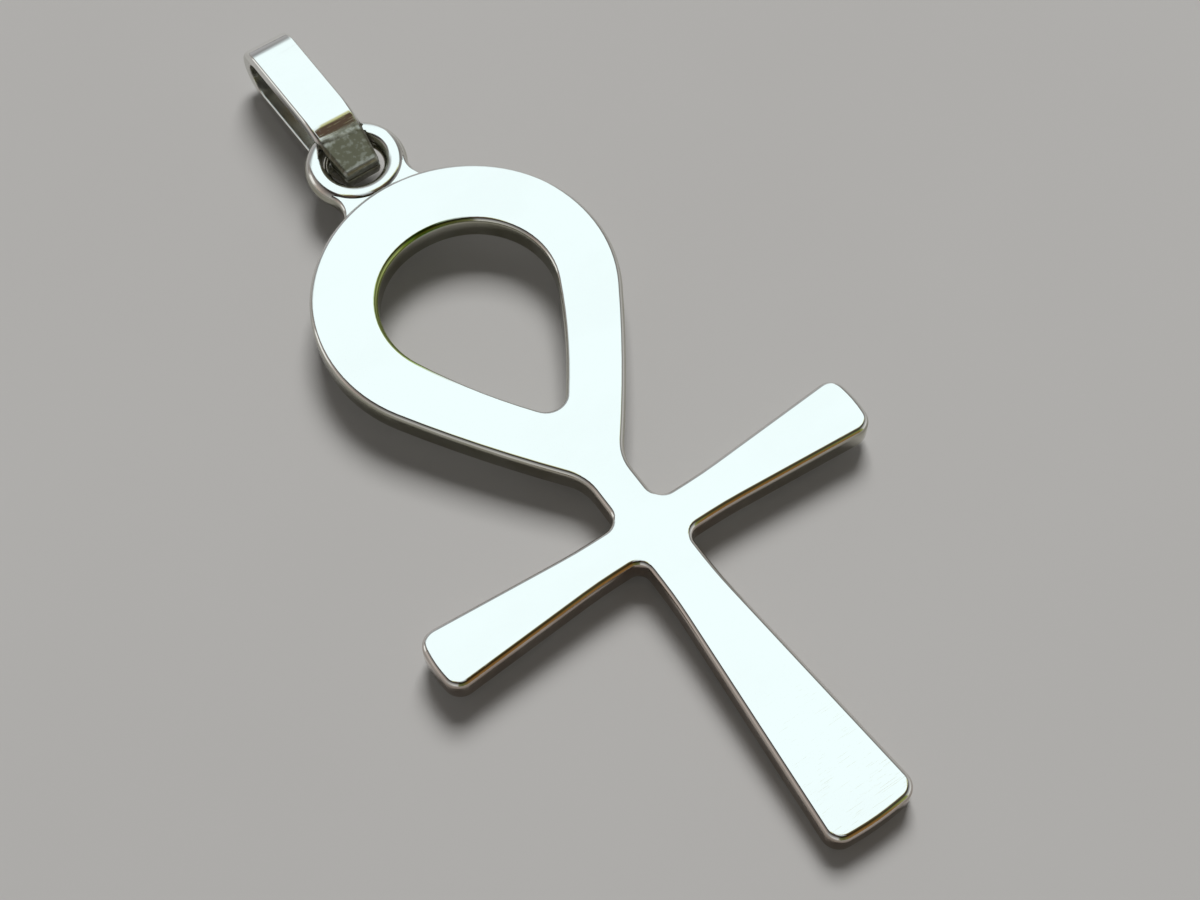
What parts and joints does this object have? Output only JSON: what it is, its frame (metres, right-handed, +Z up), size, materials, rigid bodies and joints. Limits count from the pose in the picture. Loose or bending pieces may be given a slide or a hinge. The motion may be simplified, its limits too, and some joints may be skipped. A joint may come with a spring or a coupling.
{
  "type": "ankh pendant",
  "caption": "Flat silver ankh with a teardrop loop, a soldered wire ring at its top and a folded strip bail that a chain runs through.",
  "frame": {"origin": "middle of the pendant's box, on the surface that it lies on", "axes": "+X across the arms, +Y from the foot of the stem towards the bail, +Z up from the surface that it lies on"},
  "size_m": [0.0236, 0.0516, 0.0037],
  "materials": {
    "polished_silver": "mirror polished silver with fine wiping scratches and softly rounded edges",
    "bail_silver": "polished silver strip, a little duller inside the bail and at its folded end"
  },
  "bodies": {
    "root": {"ankh": "polished_silver", "bail": "bail_silver"}
  },
  "joints": []
}
